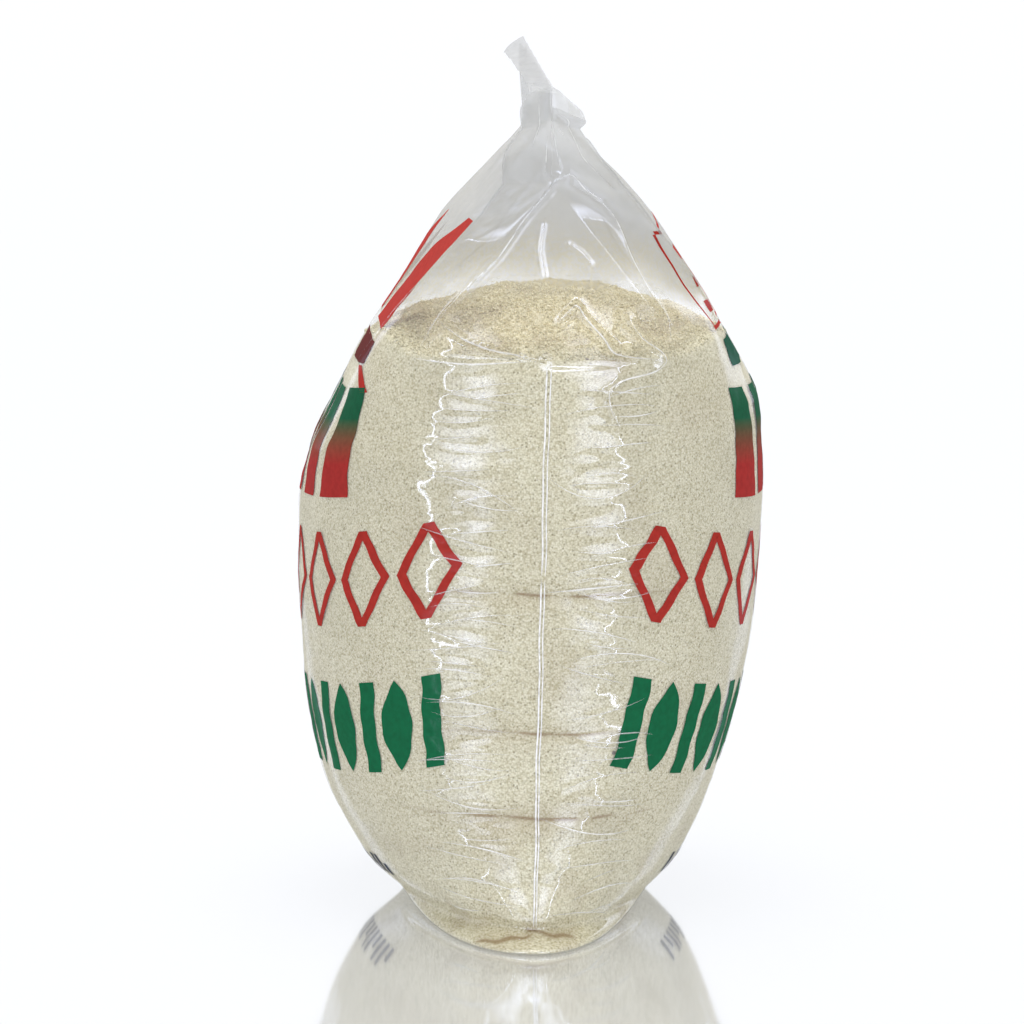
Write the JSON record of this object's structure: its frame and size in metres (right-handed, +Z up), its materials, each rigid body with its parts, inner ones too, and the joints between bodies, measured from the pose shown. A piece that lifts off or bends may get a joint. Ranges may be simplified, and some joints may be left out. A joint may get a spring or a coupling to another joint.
{
  "type": "bag of garri",
  "caption": "Clear sealed film bag packed with garri, gusseted at both ends, with a folded-over top seal and printed faces, standing on its flattened underside.",
  "frame": {"origin": "on the ground plane, at the middle of the bag's bounding box", "axes": "+Z up the height, which is the longest extent; the seals run along Y, the gusset ends face -Y and +Y, the wide faces -X and +X"},
  "size_m": [0.188, 0.248, 0.3394],
  "materials": {
    "bag": "gloss film over pale grains",
    "film": "gloss, clear, faintly hazy",
    "garri": "matte granules, pale cream",
    "print_red": "gloss ink on film",
    "print_green": "gloss ink on film",
    "print_dark": "gloss ink on film"
  },
  "bodies": {
    "root": {"bag": "bag"}
  },
  "joints": []
}
